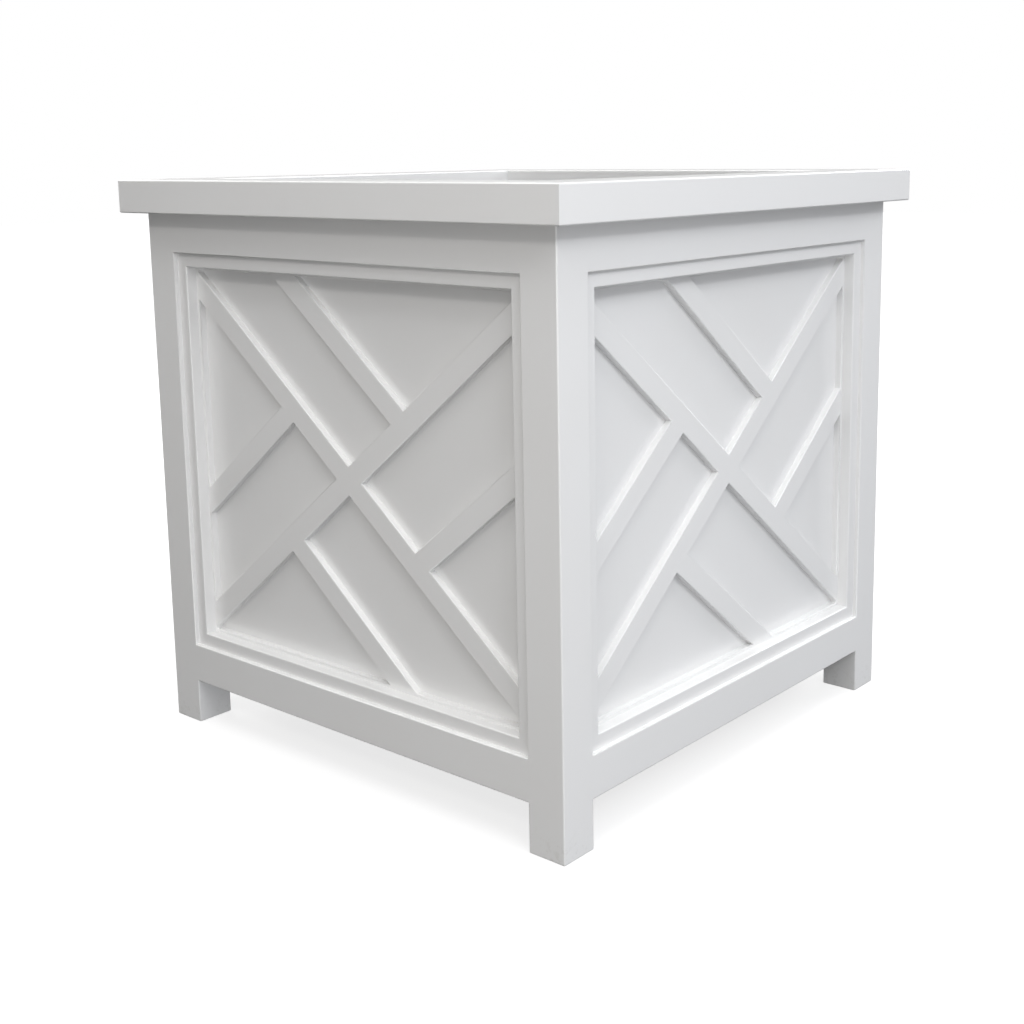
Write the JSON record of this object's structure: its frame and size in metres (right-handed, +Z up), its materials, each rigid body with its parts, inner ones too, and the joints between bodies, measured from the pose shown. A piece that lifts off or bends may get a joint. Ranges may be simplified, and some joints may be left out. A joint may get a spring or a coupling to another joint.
{
  "type": "planter box",
  "caption": "Square white planter box on post feet, with fretwork on each side, a flat mitred cap and a lift-out liner.",
  "frame": {"origin": "on the floor, midway between the four feet", "axes": "+Z up; -Y is the front side and +X the right side; the four sides are alike"},
  "size_m": [0.762, 0.762, 0.747],
  "materials": {
    "white_board": "satin white paint on smooth board",
    "steel": "plain stainless screws",
    "liner": "matt moulded plastic"
  },
  "bodies": {
    "planter": {"post_front_left": "white_board", "post_front_right": "white_board", "post_back_right": "white_board", "post_back_left": "white_board", "bottom_rail_front": "white_board", "bottom_rail_right": "white_board", "bottom_rail_back": "white_board", "bottom_rail_left": "white_board", "top_rail_front": "white_board", "top_rail_right": "white_board", "top_rail_back": "white_board", "top_rail_left": "white_board", "panel_front": "white_board", "panel_right": "white_board", "panel_back": "white_board", "panel_left": "white_board", "fretwork_front": "white_board", "fretwork_right": "white_board", "fretwork_back": "white_board", "fretwork_left": "white_board", "moulding_bottom_front": "white_board", "moulding_right_front": "white_board", "moulding_top_front": "white_board", "moulding_left_front": "white_board", "moulding_bottom_right": "white_board", "moulding_right_right": "white_board", "moulding_top_right": "white_board", "moulding_left_right": "white_board", "moulding_bottom_back": "white_board", "moulding_right_back": "white_board", "moulding_top_back": "white_board", "moulding_left_back": "white_board", "moulding_bottom_left": "white_board", "moulding_right_left": "white_board", "moulding_top_left": "white_board", "moulding_left_left": "white_board", "cap_front": "white_board", "cap_right": "white_board", "cap_back": "white_board", "cap_left": "white_board", "cap_splines": "white_board", "cap_screws": "steel", "cleat_front": "white_board", "cleat_right": "white_board", "cleat_back": "white_board", "cleat_left": "white_board", "cleat_screws": "steel", "floor_slat_1": "white_board", "floor_slat_2": "white_board", "floor_slat_3": "white_board", "floor_slat_4": "white_board", "floor_slat_5": "white_board", "floor_screws": "steel"},
    "liner": {"liner": "liner"}
  },
  "joints": [
    {"name": "liner_lift", "type": "slide", "parent": "planter", "child": "liner", "axis": [0, 0, 1], "range_m": [0, 0.65]}
  ]
}
